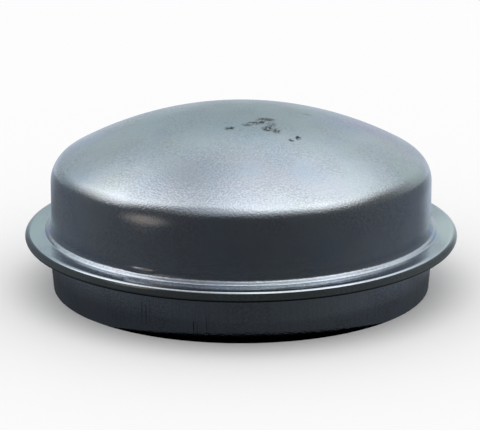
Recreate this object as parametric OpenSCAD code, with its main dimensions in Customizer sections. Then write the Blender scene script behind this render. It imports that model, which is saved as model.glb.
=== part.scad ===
/* [Sheet] */
// Thickness of the steel sheet that the cap is drawn from
sheet_t = 0.9; // [0.6:0.05:1.2]

/* [Hub fit] */
// Bore of the hub that the cap is pressed into
bore_d = 65; // [50:0.5:90]
// How much wider the spigot is than the bore, across the diameter
press_fit = 0.1; // [0.02:0.02:0.2]

/* [Crown and wall] */
// How far the upright wall above the flange stands in from the face of the spigot
wall_inset = 0.05; // [0:0.05:2]
// Height of the straight wall, from the top of the flange to the corner of the crown
wall_h = 8.5; // [3:0.5:30]
// Outside radius of the domed crown
crown_r = 61; // [40:1:200]
// Outside radius of the corner between the crown and the wall
knuckle_r = 4.5; // [2:0.25:9]

/* [Flange] */
// How far the flange reaches out past the face of the spigot
flange_w = 4.45; // [3.5:0.05:12]
// Outside radius of the bend from the wall out to the flange
flare_r = 1.5; // [0.8:0.1:2]
// Space left between the two layers of the folded flange
fold_gap = 0.1; // [0.05:0.01:0.2]

/* [Spigot] */
// Length of the spigot, from the underside of the flange to its mouth
spigot_l = 8.3; // [7:0.1:25]
// Outside radius of the bend from the flange down to the spigot
tuck_r = 0.4; // [0.2:0.1:0.8]
// Length of the tapered lead-in at the mouth
lead_l = 3.9; // [2:0.1:5]
// Slope of the lead-in from upright, in degrees
lead_deg = 5; // [1:0.5:10]
// Outside radius of the soft bend where the lead-in leaves the land
lead_bend_r = 8; // [3:0.5:12]
// Rounding of both edges of the trimmed mouth
mouth_round = 0.2; // [0.05:0.05:0.25]

/* [Hidden] */

// Furthest that a chord of the outline may lie from its true bend
chord_err = 0.01;

// The sheet is folded back on itself at the rim, so the flange is two sheets and the gap
flange_t = 2 * sheet_t + fold_gap;
underside_z = spigot_l;
flange_z = underside_z + flange_t;
spigot_x = (bore_d + press_fit) / 2;
wall_x = spigot_x - wall_inset;
flange_x = spigot_x + flange_w;

// Centres of the bends, in the half section: x is the radius from the axis and y is the height
flare_c = [wall_x + flare_r, flange_z + flare_r];
rim_r = flange_t / 2;
rim_c = [flange_x - rim_r, underside_z + rim_r];
tuck_c = [spigot_x + tuck_r, underside_z - tuck_r];
lead_c = [spigot_x - lead_bend_r, lead_l];
knuckle_c = [wall_x - knuckle_r, flange_z + wall_h];

// The crown's sphere runs into the corner with no crease, so the two centres lie on one normal
crown_rise = sqrt(pow(crown_r - knuckle_r, 2) - pow(knuckle_c.x, 2));
crown_c = [0, knuckle_c.y - crown_rise];
crown_a = atan2(crown_rise, knuckle_c.x);

// Where the taper's outer line stands at the height of the mouth's rounding
lead_end = lead_c + lead_bend_r * [cos(lead_deg), -sin(lead_deg)];
mouth_x = lead_end.x - (lead_end.y - mouth_round) * tan(lead_deg);
mouth_inset = mouth_round / cos(lead_deg);
mouth_wall = sheet_t / cos(lead_deg);
mouth_out_c = [mouth_x - mouth_inset, mouth_round];
mouth_in_c = [mouth_x - mouth_wall + mouth_inset, mouth_round];

// Points along a round bend, from angle a to angle b, with chords within chord_err of the true curve
function bend_steps(r, a, b) =
    ceil(abs(b - a) / (2 * acos(1 - min(chord_err / r, 0.5))));

function bend(c, r, a, b) =
    let (steps = bend_steps(r, a, b))
    [for (i = [0:steps]) let (t = a + (b - a) * i / steps) c + r * [cos(t), sin(t)]];

// One face of the sheet, from the top of the crown down to the mouth, at a depth in from the outside
function face(depth) = concat(
    bend(crown_c, crown_r - depth, 90, crown_a),
    bend(knuckle_c, knuckle_r - depth, crown_a, 0),
    bend(flare_c, flare_r + depth, 180, 270),
    bend(rim_c, rim_r - depth, 90, -90),
    bend(tuck_c, tuck_r + depth, 90, 180),
    bend(lead_c, lead_bend_r - depth, 0, -lead_deg)
);

function reversed(points) = [for (i = [len(points) - 1:-1:0]) points[i]];

// The trimmed edge that joins the sheet's two faces at the mouth
mouth_edge = concat(
    bend(mouth_out_c, mouth_round, -lead_deg, -90),
    bend(mouth_in_c, mouth_round, -90, -180 - lead_deg)
);

// One drawn and folded sheet of even thickness, open at the mouth
module grease_cap() {
    color("#8e979c")
        rotate_extrude($fn = 180)
            polygon(concat(face(0), mouth_edge, reversed(face(sheet_t))));
}

grease_cap();
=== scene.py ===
import math

import bmesh
import bpy
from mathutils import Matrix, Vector


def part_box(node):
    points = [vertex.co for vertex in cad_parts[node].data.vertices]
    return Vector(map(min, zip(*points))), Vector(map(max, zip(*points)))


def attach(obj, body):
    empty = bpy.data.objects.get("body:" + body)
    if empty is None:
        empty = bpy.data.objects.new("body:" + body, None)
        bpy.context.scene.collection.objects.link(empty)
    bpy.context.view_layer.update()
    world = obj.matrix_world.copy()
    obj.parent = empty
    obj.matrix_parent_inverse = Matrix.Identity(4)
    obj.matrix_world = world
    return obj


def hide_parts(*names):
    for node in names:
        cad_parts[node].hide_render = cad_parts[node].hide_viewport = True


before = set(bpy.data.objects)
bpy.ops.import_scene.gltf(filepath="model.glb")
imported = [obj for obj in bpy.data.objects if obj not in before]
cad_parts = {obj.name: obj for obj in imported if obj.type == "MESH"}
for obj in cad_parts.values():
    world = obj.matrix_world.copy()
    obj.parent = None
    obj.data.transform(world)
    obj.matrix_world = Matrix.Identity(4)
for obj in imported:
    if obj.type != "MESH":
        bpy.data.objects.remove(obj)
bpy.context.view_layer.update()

CAP = "grease_cap"
MM_PER_METRE = 1000


def mm(length):
    """Millimetres, as the sizes below are written, to Blender's metres."""
    return length / MM_PER_METRE


def in_mm(length):
    """Metres to the millimetres that the materials work in."""
    return length * MM_PER_METRE


# Sizes of the cap

SHEET = mm(0.9)
FOLD_GAP = mm(0.1)
SPIGOT_LENGTH = mm(8.3)
FLANGE_REACH = mm(4.45)
WALL_INSET = mm(0.05)
WALL_HEIGHT = mm(8.5)
CROWN_RADIUS = mm(61)
KNUCKLE_RADIUS = mm(4.5)
# The bend at the wall's foot turns in two steps, with a short slope between them
FLARE_RADIUS = mm(0.9)
FLARE_FOOT_RADIUS = mm(0.3)
FLARE_SLOPE = math.radians(60)
FLARE_SLOPE_LENGTH = mm(0.7)
TUCK_RADIUS = mm(0.4)
LEAD_LENGTH = mm(3.9)
LEAD_ANGLE = math.radians(5)
LEAD_BEND_RADIUS = mm(8)
MOUTH_ROUND = mm(0.2)

low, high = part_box(CAP)
FLANGE_RADIUS = (high[0] - low[0]) / 2
SPIGOT_RADIUS = FLANGE_RADIUS - FLANGE_REACH
WALL_RADIUS = SPIGOT_RADIUS - WALL_INSET
FLANGE_THICKNESS = 2 * SHEET + FOLD_GAP
RIM_RADIUS = FLANGE_THICKNESS / 2
FLANGE_TOP = SPIGOT_LENGTH + FLANGE_THICKNESS

# How finely the cap's line is drawn, and how many times it is turned round the axis
LINE_STEP = mm(0.6)
BEND_STEP = math.radians(4)
CROWN_STEP = math.radians(1)
TURNS = 240
# How near two points of the line, or of the turned sheet, lie when they are one point
SAME_POINT = mm(0.001)
MERGE_DISTANCE = mm(0.002)


# Camera: a long lens, a little above the cap

IMAGE_WIDTH = 480
IMAGE_HEIGHT = 430
# Across the sensor, in millimetres
SENSOR = 36.0
CAMERA_PITCH = math.radians(16.85)
CAMERA_DISTANCE = mm(518)
NEAREST_SEEN = mm(10)
FURTHEST_SEEN = mm(20000)
FOCAL_PIXELS = 3018.9
# The middle of the flange's top stands this far right of and below the middle of the picture
AIM_RIGHT_PIXELS = 1.12
AIM_DOWN_PIXELS = 10.97

flange_centre = Vector((0, 0, FLANGE_TOP))
view_line = Vector((0, math.cos(CAMERA_PITCH), -math.sin(CAMERA_PITCH)))
view_up = Vector((0, math.sin(CAMERA_PITCH), math.cos(CAMERA_PITCH)))
view_right = Vector((1, 0, 0))
camera_place = flange_centre - CAMERA_DISTANCE * view_line


def add_camera():
    pixel = CAMERA_DISTANCE / FOCAL_PIXELS
    aim = flange_centre - view_right * (AIM_RIGHT_PIXELS * pixel) + view_up * (AIM_DOWN_PIXELS * pixel)
    data = bpy.data.cameras.new("camera")
    data.sensor_width = SENSOR
    data.lens = FOCAL_PIXELS * SENSOR / IMAGE_WIDTH
    data.clip_start = NEAREST_SEEN
    data.clip_end = FURTHEST_SEEN
    camera = bpy.data.objects.new("camera", data)
    camera.location = camera_place
    camera.rotation_euler = (aim - camera_place).to_track_quat("-Z", "Y").to_euler()
    bpy.context.collection.objects.link(camera)
    bpy.context.scene.camera = camera


def on_crown(pixel_x, pixel_y):
    """The point of the crown that the camera sees at a pixel of the photograph."""
    ray = (view_line * FOCAL_PIXELS
           + view_right * (pixel_x - IMAGE_WIDTH / 2 - AIM_RIGHT_PIXELS)
           - view_up * (pixel_y - IMAGE_HEIGHT / 2 - AIM_DOWN_PIXELS)).normalized()
    offset = camera_place - crown_centre
    along = -offset.dot(ray)
    return camera_place + ray * (along - math.sqrt(along ** 2 - offset.length_squared + CROWN_RADIUS ** 2))


# The cap's section: the centre of each bend, as places in the XZ plane

knuckle_centre = Vector((WALL_RADIUS - KNUCKLE_RADIUS, 0, FLANGE_TOP + WALL_HEIGHT))
crown_rise = math.sqrt((CROWN_RADIUS - KNUCKLE_RADIUS) ** 2 - knuckle_centre.x ** 2)
crown_centre = Vector((0, 0, knuckle_centre.z - crown_rise))
crown_sweep = math.atan2(knuckle_centre.x, crown_rise)
# The bend at the wall's foot: its heights follow from the flange up, and then its radii from the wall out
slope_foot_z = FLANGE_TOP + FLARE_FOOT_RADIUS * (1 - math.sin(FLARE_SLOPE))
slope_top_z = slope_foot_z + FLARE_SLOPE_LENGTH * math.cos(FLARE_SLOPE)
flare_centre = Vector((WALL_RADIUS + FLARE_RADIUS, 0, slope_top_z + FLARE_RADIUS * math.sin(FLARE_SLOPE)))
slope_top_x = flare_centre.x - FLARE_RADIUS * math.cos(FLARE_SLOPE)
slope_foot_x = slope_top_x + FLARE_SLOPE_LENGTH * math.sin(FLARE_SLOPE)
flare_foot_x = slope_foot_x + FLARE_FOOT_RADIUS * math.cos(FLARE_SLOPE)
flare_foot_centre = Vector((flare_foot_x, 0, FLANGE_TOP + FLARE_FOOT_RADIUS))
rim_centre = Vector((FLANGE_RADIUS - RIM_RADIUS, 0, SPIGOT_LENGTH + RIM_RADIUS))
tuck_centre = Vector((SPIGOT_RADIUS + TUCK_RADIUS, 0, SPIGOT_LENGTH - TUCK_RADIUS))
lead_centre = Vector((SPIGOT_RADIUS - LEAD_BEND_RADIUS, 0, LEAD_LENGTH))
lead_end = lead_centre + LEAD_BEND_RADIUS * Vector((math.cos(LEAD_ANGLE), 0, -math.sin(LEAD_ANGLE)))
mouth_radius = lead_end.x - (lead_end.z - MOUTH_ROUND) * math.tan(LEAD_ANGLE)
mouth_outer_centre = Vector((mouth_radius - MOUTH_ROUND / math.cos(LEAD_ANGLE), 0, MOUTH_ROUND))
mouth_inner_centre = Vector((mouth_radius + (MOUTH_ROUND - SHEET) / math.cos(LEAD_ANGLE), 0, MOUTH_ROUND))

# Each bend of the sheet's outer face from the crown down: centre, outer radius, where it starts and
# how far it turns. Angles are from straight up towards the outside. Turning back is a hollow bend.
BENDS = [
    (crown_centre, CROWN_RADIUS, 0, crown_sweep),
    (knuckle_centre, KNUCKLE_RADIUS, crown_sweep, math.pi / 2 - crown_sweep),
    (flare_centre, FLARE_RADIUS, -math.pi / 2, -FLARE_SLOPE),
    (flare_foot_centre, FLARE_FOOT_RADIUS, -math.pi / 2 - FLARE_SLOPE, FLARE_SLOPE - math.pi / 2),
    (rim_centre, RIM_RADIUS, 0, math.pi),
    (tuck_centre, TUCK_RADIUS, 0, -math.pi / 2),
    (lead_centre, LEAD_BEND_RADIUS, math.pi / 2, LEAD_ANGLE),
]
# The trimmed edge at the mouth, whose two corners are just broken
MOUTH_BENDS = [
    (mouth_outer_centre, MOUTH_ROUND, math.pi / 2 + LEAD_ANGLE, math.pi / 2 - LEAD_ANGLE),
    (mouth_inner_centre, MOUTH_ROUND, math.pi, math.pi / 2 + LEAD_ANGLE),
]


def inner_bends():
    """The bends of the sheet's inner face, from the mouth back up to the crown."""
    bends = []
    for centre, radius, start, sweep in reversed(BENDS):
        depth = SHEET if sweep > 0 else -SHEET
        bends.append((centre, radius - depth, start + sweep, -sweep))
    return bends


def draw_straight(bm, tip, end):
    """Extrudes the line's last vertex straight to a place, in even steps."""
    start = tip.co.copy()
    steps = max(1, round((end - start).length / LINE_STEP))
    for step in range(steps):
        tip = bmesh.ops.extrude_vert_indiv(bm, verts=[tip])["verts"][0]
        tip.co = start.lerp(end, (step + 1) / steps)
    return tip


def draw_bend(bm, tip, centre, radius, start, sweep):
    """Runs the line to where a bend starts and spins its last vertex round the bend's centre."""
    begin = centre + radius * Vector((math.sin(start), 0, math.cos(start)))
    if tip is None:
        tip = bm.verts.new(begin)
    elif (begin - tip.co).length > SAME_POINT:
        tip = draw_straight(bm, tip, begin)
    step = CROWN_STEP if radius > KNUCKLE_RADIUS else BEND_STEP
    result = bmesh.ops.spin(bm, geom=[tip], cent=centre, axis=(0, 1, 0), angle=sweep,
                            steps=max(2, math.ceil(abs(sweep) / step)), use_duplicate=False)
    return next(item for item in result["geom_last"] if isinstance(item, bmesh.types.BMVert))


def add_object(name, bm):
    mesh = bpy.data.meshes.new(name)
    bm.to_mesh(mesh)
    bm.free()
    for face in mesh.polygons:
        face.use_smooth = True
    made = bpy.data.objects.new(name, mesh)
    bpy.context.collection.objects.link(made)
    return made


def drawn_cap():
    """The pressed sheet. Its line is drawn once, out to the mouth and back inside, and then turned."""
    bm = bmesh.new()
    tip = None
    for bend in BENDS + MOUTH_BENDS + inner_bends():
        tip = draw_bend(bm, tip, *bend)
    bmesh.ops.spin(bm, geom=bm.verts[:] + bm.edges[:], cent=(0, 0, 0), axis=(0, 0, 1),
                   angle=2 * math.pi, steps=TURNS, use_merge=True, use_duplicate=False)
    bmesh.ops.remove_doubles(bm, verts=bm.verts[:], dist=MERGE_DISTANCE)
    bmesh.ops.recalc_face_normals(bm, faces=bm.faces[:])
    return add_object("pressed_cap", bm)


# Materials

def linear(hex_colour):
    """An sRGB colour such as #8e979c, as the linear colour that Blender's sockets take."""
    channels = [int(hex_colour[i:i + 2], 16) / 255 for i in (1, 3, 5)]
    return tuple(c / 12.92 if c <= 0.04045 else ((c + 0.055) / 1.055) ** 2.4 for c in channels) + (1.0,)


def add_node(tree, kind, settings=None, **inputs):
    """Adds a node, sets its properties, and sets or links its inputs, named with _ for a space."""
    node = tree.nodes.new(kind)
    for key, value in (settings or {}).items():
        setattr(node, key, value)
    for key, value in inputs.items():
        socket = node.inputs[int(key[2:])] if key.startswith("in") and key[2:].isdigit() \
            else node.inputs[key.replace("_", " ")]
        if isinstance(value, bpy.types.NodeSocket):
            tree.links.new(value, socket)
        else:
            socket.default_value = value
    return node


def new_material(name):
    material = bpy.data.materials.new(name)
    material.use_nodes = True
    material.node_tree.nodes.clear()
    return material


def finish_material(material, shader):
    add_node(material.node_tree, "ShaderNodeOutputMaterial", Surface=shader)
    return material


def combine(tree, operation, values):
    """Several patterns and numbers joined by one operation."""
    joined = values[0]
    for value in values[1:]:
        node = add_node(tree, "ShaderNodeMath", {"operation": operation}, in0=joined, in1=value)
        joined = node.outputs[0]
    return joined


def zone(tree, edges):
    """1 inside a zone and 0 outside it. Each edge is a value, where it crosses and how soft it is.

    The zone lies above each edge, or below it where the soft width is negative.
    """
    sides = []
    for value, edge, soft in edges:
        side = add_node(tree, "ShaderNodeMapRange", {"interpolation_type": "SMOOTHSTEP"}, Value=value,
                        From_Min=edge - soft / 2, From_Max=edge + soft / 2, To_Min=0.0, To_Max=1.0)
        sides.append(side.outputs[0])
    return combine(tree, "MULTIPLY", sides)


# A soft spot fades from its reach in to this share of it
SPOT_EDGE = 1.0
SPOT_CORE = 0.1


def soft_spot(tree, here, centre, reach, strength):
    """A soft spot round a place on the cap, with its reach along each axis in millimetres."""
    offset = add_node(tree, "ShaderNodeVectorMath", {"operation": "SUBTRACT"}, in0=here, in1=centre)
    scaled = add_node(tree, "ShaderNodeVectorMath", {"operation": "DIVIDE"}, in0=offset.outputs[0],
                      in1=reach)
    away = add_node(tree, "ShaderNodeVectorMath", {"operation": "LENGTH"}, in0=scaled.outputs[0])
    return add_node(tree, "ShaderNodeMapRange", {"interpolation_type": "SMOOTHSTEP"},
                    Value=away.outputs["Value"], From_Min=SPOT_EDGE, From_Max=SPOT_CORE, To_Min=0.0,
                    To_Max=strength).outputs[0]


def crown_spot(tree, here, pixel, reach, strength):
    """A soft spot on the crown, where the photograph shows it."""
    return soft_spot(tree, here, [in_mm(part) for part in on_crown(*pixel)], reach, strength)


# How far apart the marks of making stand on the cap, in millimetres. The real grain of the plate is about
# 0.1 mm, finer than a pixel, so it is drawn coarse enough to show.
GRAIN = 0.33
SHEET_WAVES = 7.0
DRAW_LINES = 0.4
DRAW_LINE_LENGTH = 8.0
FOLD_RINGS = 0.6
FOLD_RING_LENGTH = 6.0
CAST_PATCHES = 12.0

# Parts of the cap with a finish of their own. Each edge of a part: what it is measured along, from where,
# how many millimetres beyond that it lies, and how soft it is. The part lies above or outside the edge,
# or below or inside it where the soft width is negative.
ZONES = {
    "plain sheet": [("radius", WALL_RADIUS, 0.3, -0.3)],
    "flange": [("height", SPIGOT_LENGTH, 0.0, 0.3), ("radius", WALL_RADIUS, 0.3, 0.3)],
    "rings": [("height", SPIGOT_LENGTH, 0.0, 0.3), ("radius", WALL_RADIUS, 0.6, 0.4),
              ("radius", rim_centre.x, 0.0, -0.3)],
    "rim": [("height", SPIGOT_LENGTH, 0.0, 0.3), ("radius", rim_centre.x, 0.0, 0.3)],
    # The rim face's top edge stands just under the rim highlight, so its olive also paints shade there and
    # narrows the highlight
    "rim face": [("height", SPIGOT_LENGTH, 0.1, 0.2), ("height", FLANGE_TOP, -0.28, -0.2),
                 ("radius", rim_centre.x, 0.0, 0.3)],
    # The crevice under the rolled rim, darkened with painted shade
    "crevice shade": [("height", SPIGOT_LENGTH, -0.6, 0.3), ("height", SPIGOT_LENGTH, 0.5, -0.3),
                ("radius", WALL_RADIUS, 0.15, 0.1)],
    "wall foot": [("height", FLANGE_TOP, 0.1, 0.2), ("height", FLANGE_TOP, 0.8, -0.6)],
    "spigot": [("height", SPIGOT_LENGTH, -0.5, -0.6)],
}

# Relief in the plate: which noise, how deep in millimetres, and in which parts, or all over
RELIEF = [
    ("grain", 0.03, ["plain sheet"]),
    ("grain", 0.008, ["flange"]),
    ("waves", 0.06, []),
    ("lines", 0.03, ["wall foot"]),
    ("lines", 0.005, ["spigot"]),
    ("rings", 0.03, ["rings"]),
]

# Patterns made from a noise: which noise, its values where the pattern starts and ends, and the
# strengths there. Satin is how rough the plate is, from 0 for a mirror to 1.
PATTERNS = {
    "satin": ("waves", 0.3, 0.7, 0.19, 0.24),
    "speckle": ("grain", 0.35, 0.65, 0.22, 0.0),
    "patchy": ("waves", 0.4, 0.6, 0.4, 1.1),
    "streaks": ("lines", 0.45, 0.7, 0.0, 0.1),
    "mottle": ("grain", 0.35, 0.65, 0.1, 0.8),
}
# How rough the plate is in the parts where it isn't as on the crown
ZONE_SATIN = [("flange", 0.19), ("rim", 0.08), ("spigot", 0.11)]

# What the plate turns to: rubbed, as by scratches, and the same dark colour for painted shade in the
# crevice under the rim; scuffed; and olive on the rolled rim, which also paints shade just under the rim
# highlight
RUBBED_AND_SHADE = "#4a4d4c"
SCUFFED = "#2c2e2a"
RIM_OLIVE_AND_SHADE = "#b0b296"
CREVICE_SHADE_STRENGTH = 0.9

# The film of passivation: places on a patchy noise, and the colours there
FILM = [(0.36, "#d1dce8"), (0.5, "#d8dee7"), (0.64, "#d7dfe4")]

# Small marks on the walls, in millimetres: place, reach and depth. A long press mark above the bend,
# and a pit.
DENTS = [
    ((-16.6, -27.9, 11.2), (4.5, 3.5, 0.55), 0.32),
    ((10.0, -30.9, 13.9), (0.3, 1.0, 0.3), 0.12),
]
# Dark scratches that run up the spigot: place, reach and how strong
SCRATCHES = [
    ((-16.2, -28.2, 4.4), (0.2, 1.5, 3.2), 0.5),
    ((-15.5, -28.6, 4.0), (0.16, 1.5, 3.0), 0.6),
    ((-14.9, -28.9, 4.6), (0.12, 1.5, 3.4), 0.4),
    ((-7.7, -31.6, 2.6), (0.18, 1.5, 2.0), 0.8),
    ((-7.1, -31.7, 2.4), (0.12, 1.5, 1.8), 0.5),
    ((-5.6, -32.0, 3.2), (0.12, 1.5, 2.6), 0.6),
]

# Scuffs on the crown: pixel of the photograph, reach across and back in millimetres, and how strong
SCUFFS = [
    ((229.5, 128.2), 1.2, 1.0, 1.3),
    ((247.0, 124.8), 1.3, 0.8, 0.9),
    ((254.0, 123.2), 1.6, 1.0, 1.4),
    ((266.0, 119.4), 2.2, 1.1, 1.4),
    ((261.0, 122.0), 1.5, 1.3, 1.1),
    ((267.5, 128.6), 1.3, 1.5, 1.6),
    ((276.5, 131.0), 1.0, 1.5, 1.0),
    ((271.0, 125.0), 1.3, 2.4, 0.7),
    ((291.5, 140.2), 0.7, 0.7, 1.2),
    ((298.3, 138.0), 0.6, 1.1, 2.2),
    ((307.0, 114.6), 1.6, 1.0, 0.4),
]
SCUFF_HEIGHT = 3.0
# The noise that tears the scuffs' edges: how fine it is, and the value above which the plate stays dark
TEARS_PER_MM = 1.7
TORN_ABOVE = 0.46
TORN_SOFT = 0.08

# Faint colours of the passivation: pixel of the photograph, reach in millimetres, colour, how strong
CASTS = [
    ((90, 140), 7.0, "#c8d1f2", 0.5),
    ((148, 123), 6.5, "#c6dde0", 0.4),
    ((233, 110), 7.0, "#c4d4da", 0.6),
    ((200, 112), 6.0, "#d6cfec", 0.4),
    ((170, 145), 5.0, "#dde4d2", 0.2),
    ((346, 150), 4.5, "#dde4d2", 0.2),
    ((64, 158), 4.0, "#cdc8e6", 0.6),
    ((338, 122), 8.0, "#c8d1f4", 0.6),
    ((368, 127), 7.5, "#d8caee", 0.7),
    ((410, 150), 6.0, "#d0c9e6", 0.5),
    ((408, 172), 6.0, "#cddbd0", 0.5),
    ((155, 184), 7.0, "#c8d6ea", 0.5),
    ((240, 110), 24.0, "#bac8cc", 0.5),
]
# The same on the flange: place and reach in millimetres, colour, how strong. The near-white ones on the
# flange's flat at the sides are painted reflection that brightens it there
FLANGE_CASTS_AND_SHEEN = [
    ((35.5, -2.0, 10.2), (4.0, 16.0, 2.0), "#f2fbfb", 1.0),
    ((-35.0, -2.0, 10.2), (4.0, 14.0, 2.0), "#d6eaec", 0.7),
    ((-33.0, -4.0, 10.9), (1.6, 7.0, 1.6), "#d0ccf6", 0.8),
    ((32.6, -6.0, 10.9), (1.6, 5.0, 1.6), "#bccefa", 0.7),
]


def zinc_plate():
    """Bright zinc plate with a clear blue passivation, on sheet steel that was deep drawn and rolled over.

    The plate is satin, so it mirrors its room softly, with a fine grain. The film of passivation gives
    faint blue, violet and green casts. Drawing leaves upright lines on the walls, and rolling the flange
    over leaves rings on it and a polished rim.
    """
    material = new_material("blue_passivated_zinc_plate")
    tree = material.node_tree
    place = add_node(tree, "ShaderNodeTexCoord").outputs["Object"]
    here = add_node(tree, "ShaderNodeVectorMath", {"operation": "SCALE"}, in0=place,
                    Scale=in_mm(1.0)).outputs[0]
    level = add_node(tree, "ShaderNodeVectorMath", {"operation": "MULTIPLY"}, in0=here,
                     in1=(1, 1, 0)).outputs[0]
    height = add_node(tree, "ShaderNodeSeparateXYZ", Vector=here).outputs["Z"]
    radius = add_node(tree, "ShaderNodeVectorMath", {"operation": "LENGTH"}, in0=level).outputs["Value"]
    measured = {"height": height, "radius": radius}
    zones = {name: zone(tree, [(measured[way], in_mm(start) + beyond, soft)
                               for way, start, beyond, soft in edges])
             for name, edges in ZONES.items()}

    grain = add_node(tree, "ShaderNodeTexNoise", Vector=here, Scale=1 / GRAIN, Detail=1.0, Roughness=0.5)
    waves = add_node(tree, "ShaderNodeTexNoise", Vector=here, Scale=1 / SHEET_WAVES, Detail=1.0)
    noises = {
        "grain": grain.outputs["Fac"],
        "waves": waves.outputs["Fac"],
        "lines": draw_lines(tree, here),
        "rings": fold_rings(tree, level, radius, height),
    }
    patterns = {}
    for name, (noise, starts, ends, at_start, at_end) in PATTERNS.items():
        ranged = add_node(tree, "ShaderNodeMapRange", Value=noises[noise], From_Min=starts,
                          From_Max=ends, To_Min=at_start, To_Max=at_end)
        patterns[name] = ranged.outputs[0]

    bump = add_node(tree, "ShaderNodeBump", Strength=1.0, Distance=mm(1),
                    Height=relief(tree, here, noises, zones))
    satin = patterns["satin"]
    for name, finish in ZONE_SATIN:
        satin = add_node(tree, "ShaderNodeMix", Factor=zones[name], A=satin, B=finish).outputs[0]
    colour = plate_colour(tree, here, patterns, zones)
    shader = add_node(tree, "ShaderNodeBsdfPrincipled", Base_Color=colour, Metallic=1.0, Roughness=satin,
                      Normal=bump.outputs[0])
    return finish_material(material, shader.outputs[0])


def draw_lines(tree, here):
    """Lines that run up the walls: a pattern that hardly changes with height."""
    tall = add_node(tree, "ShaderNodeVectorMath", {"operation": "MULTIPLY"}, in0=here,
                    in1=(1 / DRAW_LINES, 1 / DRAW_LINES, 1 / DRAW_LINE_LENGTH))
    return add_node(tree, "ShaderNodeTexNoise", Vector=tall.outputs[0], Scale=1.0, Detail=2.0,
                    Roughness=0.7).outputs["Fac"]


def fold_rings(tree, level, radius, height):
    """Rings that run round the flange: a pattern that changes fast across it and slowly round it."""
    across = add_node(tree, "ShaderNodeMath", {"operation": "SUBTRACT"}, in0=radius, in1=height).outputs[0]
    outward = add_node(tree, "ShaderNodeCombineXYZ", Z=across).outputs[0]
    around = add_node(tree, "ShaderNodeVectorMath", {"operation": "SCALE"}, in0=level,
                      Scale=FOLD_RINGS / FOLD_RING_LENGTH).outputs[0]
    spiral = add_node(tree, "ShaderNodeVectorMath", {"operation": "ADD"}, in0=outward, in1=around)
    return add_node(tree, "ShaderNodeTexNoise", Vector=spiral.outputs[0], Scale=1 / FOLD_RINGS, Detail=1.0,
                    Roughness=0.5).outputs["Fac"]


def relief(tree, here, noises, zones):
    """How high the plate stands at each place, in millimetres."""
    parts = [combine(tree, "MULTIPLY", [noises[noise], depth] + [zones[name] for name in names])
             for noise, depth, names in RELIEF]
    parts += [soft_spot(tree, here, *dent) for dent in DENTS]
    return combine(tree, "ADD", parts)


def plate_colour(tree, here, patterns, zones):
    """The film's colour, with its faint casts, its marks, painted shade in the crevice and painted
    reflection on the flange laid over one another.
    """
    layers = [(tint, crown_spot(tree, here, pixel, (reach, reach, reach), strength))
              for pixel, reach, tint, strength in CASTS]
    layers += [
        (RUBBED_AND_SHADE, combine(tree, "MULTIPLY", [patterns["speckle"], patterns["patchy"]])),
        (RUBBED_AND_SHADE, combine(tree, "MULTIPLY", [patterns["streaks"], zones["spigot"]])),
        # Olive mottle of the rim face, which also paints shade just under the rim highlight
        (RIM_OLIVE_AND_SHADE, combine(tree, "MULTIPLY", [patterns["mottle"], zones["rim face"]])),
        # Painted shade in the crevice under the rim, in the rubbed colour
        (RUBBED_AND_SHADE, combine(tree, "MULTIPLY", [zones["crevice shade"], CREVICE_SHADE_STRENGTH])),
        (SCUFFED, scuffs(tree, here)),
    ]
    layers += [(RUBBED_AND_SHADE, soft_spot(tree, here, *scratch)) for scratch in SCRATCHES]
    # Tints of the film on the flange, and painted reflection that brightens its flat at the sides
    layers += [(tint, soft_spot(tree, here, centre, reach, strength))
               for centre, reach, tint, strength in FLANGE_CASTS_AND_SHEEN]
    colour = passivation(tree, here)
    for tint, amount in layers:
        colour = add_node(tree, "ShaderNodeMix", {"data_type": "RGBA"}, Factor=amount, in6=colour,
                          in7=linear(tint)).outputs[2]
    return colour


def passivation(tree, here):
    """The clear film on the plate, with broad patches that hardly differ."""
    patches = add_node(tree, "ShaderNodeTexNoise", Vector=here, Scale=1 / CAST_PATCHES, Detail=2.0)
    film = add_node(tree, "ShaderNodeValToRGB", Fac=patches.outputs["Fac"])
    stops = film.color_ramp.elements
    stops.new(FILM[1][0])
    for stop, (position, tint) in zip(stops, FILM):
        stop.position = position
        stop.color = linear(tint)
    return film.outputs["Color"]


def scuffs(tree, here):
    """Where the plate is scuffed dark: small spots, torn by a noise so that their edges are ragged."""
    noise = add_node(tree, "ShaderNodeTexNoise", Vector=here, Scale=TEARS_PER_MM, Detail=4.0,
                     Roughness=0.75)
    torn = zone(tree, [(noise.outputs["Fac"], TORN_ABOVE, TORN_SOFT)])
    spots = [crown_spot(tree, here, pixel, (across, back, SCUFF_HEIGHT), strength)
             for pixel, across, back, strength in SCUFFS]
    return combine(tree, "MULTIPLY", [combine(tree, "MAXIMUM", spots), torn])


# The studio

TENT_RADIUS = 2.0
TENT_DETAIL = 5
FLOOR_RADIUS = 10.0
FLOOR_COLOUR = "#fdfdfd"
ROUND_STEPS = 128

# The dark card, just above the floor. Its shades are how strongly it shines in the metal, in front of the
# cap and beside it. Places on it are in millimetres back from the cap's axis, leaning to the right.
CARD_RADIUS = 1.2
CARD_HEIGHT = mm(0.02)
CARD_TINT = "#e8f2ff"
SHADE_FRONT = -46.0
SHADE_BESIDE = 8.0
CARD_LEAN = 0.36
CARD_SHADES = (0.052, 0.13)
# Behind the cap the card pales
PALE_FROM = 10.0
PALE_TO = 55.0
PALE_STRENGTH = 0.58
# Round the cap's foot it is darker, as a painted contact shadow: how far from the cap's middle, and by what
# share
FOOT_SHADOW_FROM = 34.0
FOOT_SHADOW_TO = 50.0
FOOT_SHADOW_SHARE = 0.56

# A black disc under the cap's front edge: a painted contact shadow, which shows as a black crescent in the
# foot of the spigot
CONTACT_SHADOW_RADIUS = mm(27)
CONTACT_SHADOW_CENTRE = (mm(0.4), mm(-8.4), mm(0.04))

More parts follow.
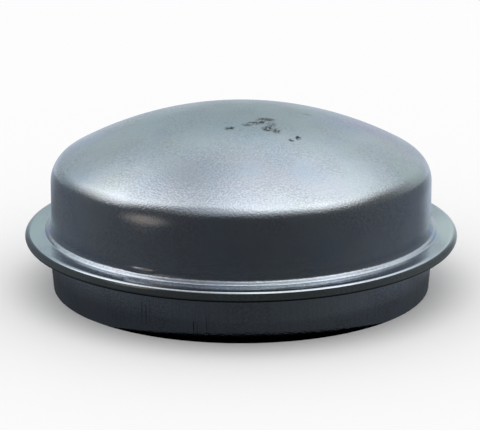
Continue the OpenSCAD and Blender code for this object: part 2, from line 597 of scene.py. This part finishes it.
# The dark screen that stands round the front of the cap, below the camera's line to the crown. It thins
# out beside the cap, round a place that is also in millimetres back from the axis.
SCREEN_RADIUS = mm(46)
SCREEN_MIDDLE = mm(25)
SCREEN_SLANT = mm(15)
SCREEN_LEAN = 0.06
SCREEN_SHADES = (0.046, 0.16)
SCREEN_END = 17.0
SCREEN_END_SOFT = 25.0
# A patch of warm light on the screen, in millimetres
WARM_SPOT = (-29, -36, 22)
WARM_REACH = (11, 11, 9)
WARM_TINT = "#fff0e4"
WARM_STRENGTH = 0.28

# The soft lights of the tent. Bearing is from the camera's side round towards the picture's right, and
# height is above the level. Each light is full over its half size and fades across its soft edge.
# In degrees: bearing, half width, soft edge, height, half height, soft edge. Then strength and colour.
SOFT_LIGHTS = [
    (-118, 28, 30, 52, 16, 40, 1.4, "#ffffff"),
    (-130, 10, 30, 26, 5, 20, 0.25, "#ffffff"),
    (100, 28, 70, 60, 12, 25, 1.32, "#ffffff"),
    (135, 115, 70, 95, 20, 40, 1.14, "#ffffff"),
    (180, 45, 60, 15, 35, 15, 0.51, "#e6f6fa"),
    (160, 40, 65, 65, 20, 30, 0.74, "#f4f9ff"),
    (-55, 10, 15, 0, 15, 25, 0.4, "#fff0e0"),
    (5, 90, 55, 90, 25, 55, 0.65, "#f4f9ff"),
    (0, 30, 40, 80, 5, 20, 0.25, "#f4f9ff"),
    (105, 65, 15, 15, 10, 55, 0.15, "#ffffff"),
    (140, 15, 45, 40, 10, 50, 0.35, "#ffffff"),
    (-75, 15, 45, 5, 15, 15, 0.1, "#ffffff"),
    (0, 90, 50, 15, 15, 25, 0.4, "#f4f9ff"),
]
TENT_SHADE = "#33322f"
HALF_TURN = 180.0


def tent_light():
    """Light from the tent's cloth, worked out from each direction's bearing and height."""
    material = new_material("tent_light")
    tree = material.node_tree
    place = add_node(tree, "ShaderNodeTexCoord").outputs["Object"]
    toward = add_node(tree, "ShaderNodeVectorMath", {"operation": "NORMALIZE"}, Vector=place).outputs[0]
    xyz = add_node(tree, "ShaderNodeSeparateXYZ", Vector=toward).outputs
    forward = add_node(tree, "ShaderNodeMath", {"operation": "MULTIPLY"}, in0=xyz["Y"], in1=-1.0).outputs[0]
    turn = add_node(tree, "ShaderNodeMath", {"operation": "ARCTAN2"}, in0=xyz["X"], in1=forward).outputs[0]
    bearing = add_node(tree, "ShaderNodeMath", {"operation": "DEGREES"}, in0=turn).outputs[0]
    rise = add_node(tree, "ShaderNodeMath", {"operation": "ARCSINE"}, in0=xyz["Z"]).outputs[0]
    height = add_node(tree, "ShaderNodeMath", {"operation": "DEGREES"}, in0=rise).outputs[0]
    total = linear(TENT_SHADE)[:3]
    for b, b_half, b_soft, h, h_half, h_soft, strength, tint in SOFT_LIGHTS:
        off = add_node(tree, "ShaderNodeMath", {"operation": "SUBTRACT"}, in0=bearing, in1=b).outputs[0]
        sideways = add_node(tree, "ShaderNodeMath", {"operation": "PINGPONG"}, in0=off,
                            in1=HALF_TURN).outputs[0]
        over = add_node(tree, "ShaderNodeMath", {"operation": "SUBTRACT"}, in0=height, in1=h).outputs[0]
        upwards = add_node(tree, "ShaderNodeMath", {"operation": "ABSOLUTE"}, in0=over).outputs[0]
        lit = zone(tree, [(sideways, b_half, -b_soft), (upwards, h_half, -h_soft)])
        glow = add_node(tree, "ShaderNodeVectorMath", {"operation": "SCALE"},
                        Vector=[strength * channel for channel in linear(tint)[:3]], Scale=lit).outputs[0]
        total = add_node(tree, "ShaderNodeVectorMath", {"operation": "ADD"}, in0=total, in1=glow).outputs[0]
    shader = add_node(tree, "ShaderNodeEmission", Color=total, Strength=1.0)
    return finish_material(material, shader.outputs[0])


def card_shade(tree, lean, shades):
    """A place on a card, how far back it is, and the card's shade there: dark in front, greyer beside."""
    place = add_node(tree, "ShaderNodeTexCoord").outputs["Object"]
    here = add_node(tree, "ShaderNodeVectorMath", {"operation": "SCALE"}, in0=place,
                    Scale=in_mm(1.0)).outputs[0]
    back = add_node(tree, "ShaderNodeVectorMath", {"operation": "DOT_PRODUCT"}, in0=here,
                    in1=(lean, 1, 0)).outputs["Value"]
    shade = add_node(tree, "ShaderNodeMapRange", Value=back, From_Min=SHADE_FRONT, From_Max=SHADE_BESIDE,
                     To_Min=shades[0], To_Max=shades[1]).outputs[0]
    return here, back, shade


def card_paint():
    """The card on the floor, which is pale behind the cap and darkest round its foot, where it paints the
    cap's contact shadow.
    """
    material = new_material("dark_card")
    tree = material.node_tree
    here, back, shade = card_shade(tree, CARD_LEAN, CARD_SHADES)
    behind = add_node(tree, "ShaderNodeMapRange", {"interpolation_type": "SMOOTHSTEP"}, Value=back,
                      From_Min=PALE_FROM, From_Max=PALE_TO, To_Min=0.0, To_Max=PALE_STRENGTH).outputs[0]
    away = add_node(tree, "ShaderNodeVectorMath", {"operation": "LENGTH"}, in0=here).outputs["Value"]
    # The painted contact shadow round the cap's foot
    foot_shadow = add_node(tree, "ShaderNodeMapRange", {"interpolation_type": "SMOOTHSTEP"}, Value=away,
                    From_Min=FOOT_SHADOW_FROM, From_Max=FOOT_SHADOW_TO, To_Min=FOOT_SHADOW_SHARE, To_Max=1.0).outputs[0]
    light = add_node(tree, "ShaderNodeMath", {"operation": "MULTIPLY_ADD"}, in0=shade, in1=foot_shadow, in2=behind)
    shader = add_node(tree, "ShaderNodeEmission", Color=linear(CARD_TINT), Strength=light.outputs[0])
    return finish_material(material, shader.outputs[0])


def screen_paint():
    """The card of the screen, with its warm patch. It thins out to nothing beside the cap."""
    material = new_material("dark_screen")
    tree = material.node_tree
    here, back, shade = card_shade(tree, SCREEN_LEAN, SCREEN_SHADES)
    card = add_node(tree, "ShaderNodeEmission", Color=linear(CARD_TINT), Strength=shade).outputs[0]
    lamp = add_node(tree, "ShaderNodeEmission", Color=linear(WARM_TINT), Strength=WARM_STRENGTH).outputs[0]
    warm = soft_spot(tree, here, WARM_SPOT, WARM_REACH, 1.0)
    lit = add_node(tree, "ShaderNodeMixShader", Fac=warm, in1=card, in2=lamp).outputs[0]
    clear = add_node(tree, "ShaderNodeBsdfTransparent").outputs[0]
    ended = zone(tree, [(back, SCREEN_END, SCREEN_END_SOFT)])
    shader = add_node(tree, "ShaderNodeMixShader", Fac=ended, in1=lit, in2=clear)
    return finish_material(material, shader.outputs[0])


def contact_shadow_paint():
    """Black card: the painted contact shadow under the cap."""
    material = new_material("contact_shadow_black")
    shader = add_node(material.node_tree, "ShaderNodeEmission", Color=linear("#000000"), Strength=0.0)
    return finish_material(material, shader.outputs[0])


def floor_paint():
    material = new_material("pale_floor")
    shader = add_node(material.node_tree, "ShaderNodeBsdfPrincipled", Base_Color=linear(FLOOR_COLOUR),
                      Roughness=1.0, Specular_IOR_Level=0.0)
    return finish_material(material, shader.outputs[0])


def seen_only_in_metal(piece):
    piece.visible_camera = False
    piece.visible_diffuse = False
    piece.visible_transmission = False
    piece.visible_volume_scatter = False
    piece.visible_shadow = False


def add_disc(name, radius, centre, paint):
    bm = bmesh.new()
    bmesh.ops.create_circle(bm, cap_ends=True, segments=ROUND_STEPS, radius=radius)
    bmesh.ops.translate(bm, verts=bm.verts[:], vec=centre)
    disc = add_object(name, bm)
    disc.data.materials.append(paint)
    return disc


def add_screen():
    """A sheet of card rolled round the cap and cut on the slant, highest in front of it."""
    bm = bmesh.new()
    bmesh.ops.create_circle(bm, cap_ends=False, segments=ROUND_STEPS, radius=SCREEN_RADIUS)
    raised = bmesh.ops.extrude_edge_only(bm, edges=bm.edges[:])["geom"]
    for vert in (item for item in raised if isinstance(item, bmesh.types.BMVert)):
        vert.co.z = SCREEN_MIDDLE - SCREEN_SLANT * vert.co.y / SCREEN_RADIUS
    screen = add_object("front_screen", bm)
    screen.data.materials.append(screen_paint())
    return screen


def add_studio():
    bm = bmesh.new()
    bmesh.ops.create_icosphere(bm, subdivisions=TENT_DETAIL, radius=TENT_RADIUS)
    tent = add_object("light_tent", bm)
    tent.data.materials.append(tent_light())
    floor = add_disc("floor", FLOOR_RADIUS, (0, 0, 0), floor_paint())
    card = add_disc("dark_card", CARD_RADIUS, (0, 0, CARD_HEIGHT), card_paint())
    # A black disc of painted contact shadow under the cap's front edge
    gap = add_disc("dark_gap", CONTACT_SHADOW_RADIUS, CONTACT_SHADOW_CENTRE, contact_shadow_paint())
    screen = add_screen()
    for piece in (tent, card, gap, screen):
        seen_only_in_metal(piece)

    world = bpy.data.worlds.new("white_room")
    world.use_nodes = True
    background = world.node_tree.nodes["Background"]
    background.inputs["Color"].default_value = linear("#ffffff")
    background.inputs["Strength"].default_value = 1.0
    bpy.context.scene.world = world
    bpy.context.scene.view_settings.view_transform = "Standard"


add_camera()
add_studio()
cap = drawn_cap()
cap.data.materials.append(zinc_plate())
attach(cap, "root")
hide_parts(CAP)
